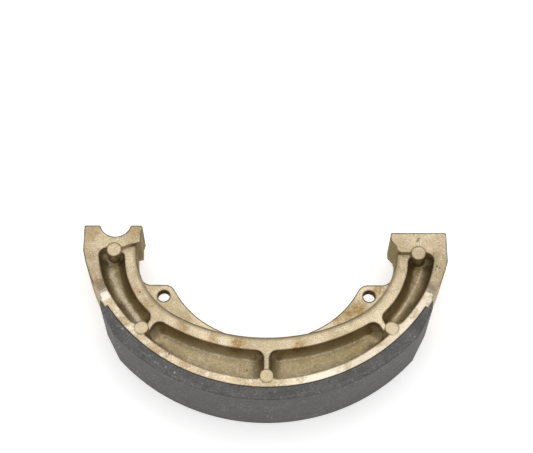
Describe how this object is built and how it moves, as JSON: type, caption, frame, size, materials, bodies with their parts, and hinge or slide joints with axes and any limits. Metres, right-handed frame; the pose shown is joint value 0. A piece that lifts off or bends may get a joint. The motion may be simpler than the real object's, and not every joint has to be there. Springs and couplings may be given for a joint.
{
  "type": "brake shoe",
  "caption": "Curved drum brake shoe: a ribbed aluminium casting with a bonded friction lining, a half-round pivot notch and a flat cam end.",
  "frame": {"origin": "on the axis of the drum that the lining runs in, half way across the shoe's width", "axes": "+Z along the drum's axis, the rim towards -Y, the pivot end towards -X and the cam end towards +X"},
  "size_m": [0.1467, 0.0756, 0.03],
  "materials": {
    "cast_aluminium": "as cast, warm champagne tone, sandy grain, machined end faces",
    "friction_lining": "moulded friction compound, matt dark grey with pale specks"
  },
  "bodies": {
    "root": {"shoe_casting": "cast_aluminium", "friction_lining": "friction_lining"}
  },
  "joints": []
}
